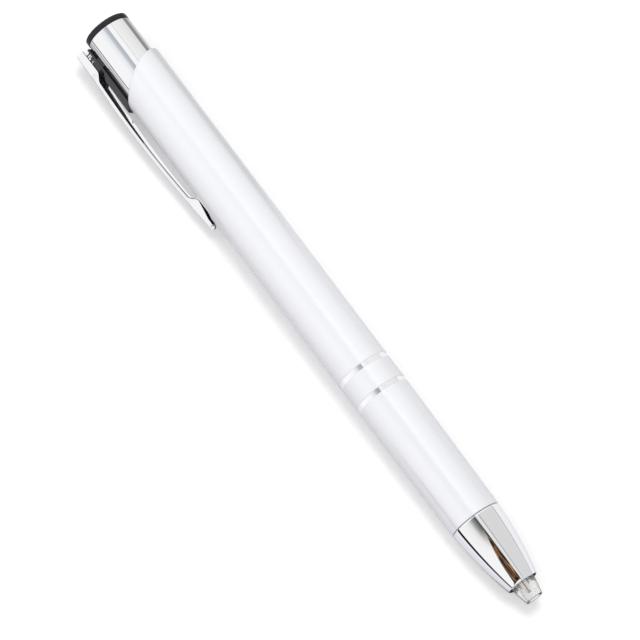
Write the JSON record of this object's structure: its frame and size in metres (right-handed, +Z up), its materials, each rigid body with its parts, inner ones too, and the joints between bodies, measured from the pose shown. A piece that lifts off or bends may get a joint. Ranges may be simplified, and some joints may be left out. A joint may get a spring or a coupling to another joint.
{
  "type": "light-up ballpoint pen",
  "caption": "Retractable ballpoint pen with a white barrel, chrome nose, plunger and spring clip, and a clear light-up tip fed by button cells.",
  "frame": {"origin": "middle of the pen's bounding box, on the ground plane it lies on", "axes": "+X along the pen towards its tip, +Z up, the clip on the -Y side, the pen leaning on its clip"},
  "size_m": [0.139, 0.0134, 0.011],
  "materials": {
    "barrel_lacquer": "satin white lacquer with a faint cool tint",
    "natural_plastic": "moulded, undyed",
    "nose_chrome": "polished plating",
    "sleeve_chrome": "polished plating",
    "clip_chrome": "polished plating",
    "clear_plastic": "clear, slightly warm",
    "circuit_board": "solder resist",
    "led_resin": "phosphor resin",
    "spring_steel": "drawn wire",
    "refill_brass": "drawn tube",
    "point_brass": "turned",
    "carbide": "ground ball",
    "cell_case": "pressed can",
    "contact_brass": "pressed sheet",
    "core_black": "moulded black",
    "disc_black": "moulded charcoal, satin"
  },
  "bodies": {
    "barrel": {"barrel": "barrel_lacquer", "cam_body": "natural_plastic"},
    "plunger": {"plunger_core": "core_black", "plunger_sleeve": "sleeve_chrome", "end_disc": "disc_black"},
    "clip": {"clip": "clip_chrome"},
    "refill": {"refill_tube": "refill_brass", "refill_point": "point_brass", "battery_carrier": "natural_plastic", "carrier_cap": "natural_plastic", "button_cell_1": "cell_case", "button_cell_2": "cell_case", "button_cell_3": "cell_case", "positive_contact": "contact_brass", "negative_contact": "contact_brass", "writing_ball": "carbide"},
    "rotor": {"cam_rotor": "natural_plastic"},
    "light_unit": {"light_tip": "clear_plastic", "led_board": "circuit_board", "led_chip_1": "led_resin", "led_chip_2": "led_resin", "return_spring": "spring_steel"},
    "nose": {"nose_cone": "nose_chrome"}
  },
  "joints": [
    {"name": "plunger_press", "type": "slide", "parent": "barrel", "child": "plunger", "axis": [1, 0, 0], "range_m": [0, 0.005], "stiffness_N_per_m": 500, "springref_m": -0.004, "deforming": ["return_spring"]},
    {"name": "clip_flex", "type": "hinge", "parent": "plunger", "child": "clip", "pos_m": [-0.0681, -0.00382, 0.0026], "axis": [0, 0.5028, -0.8644], "range_deg": [0, 5], "stiffness_Nm_per_rad": 2, "springref_deg": -1.15},
    {"name": "refill_travel", "type": "slide", "parent": "barrel", "child": "refill", "axis": [1, 0, 0], "range_m": [0, 0.005]},
    {"name": "rotor_index", "type": "hinge", "parent": "refill", "child": "rotor", "pos_m": [-0.026, 0.00116, 0.0055], "axis": [1, 0, 0], "range_deg": [0, 45]},
    {"name": "nose_turn", "type": "hinge", "parent": "light_unit", "child": "nose", "pos_m": [0.055, 0.00116, 0.0055], "axis": [1, 0, 0], "range_deg": [0, 1800]},
    {"name": "nose_advance", "type": "slide", "parent": "barrel", "child": "light_unit", "axis": [1, 0, 0], "range_m": [0, 0.00375]}
  ],
  "couplings": [
    {"joint": "refill_travel", "follows": "plunger_press", "ratio": 1},
    {"joint": "rotor_index", "follows": "plunger_press", "rad_per_m": 157.07},
    {"joint": "nose_advance", "follows": "nose_turn", "m_per_rad": 0.00011936}
  ]
}
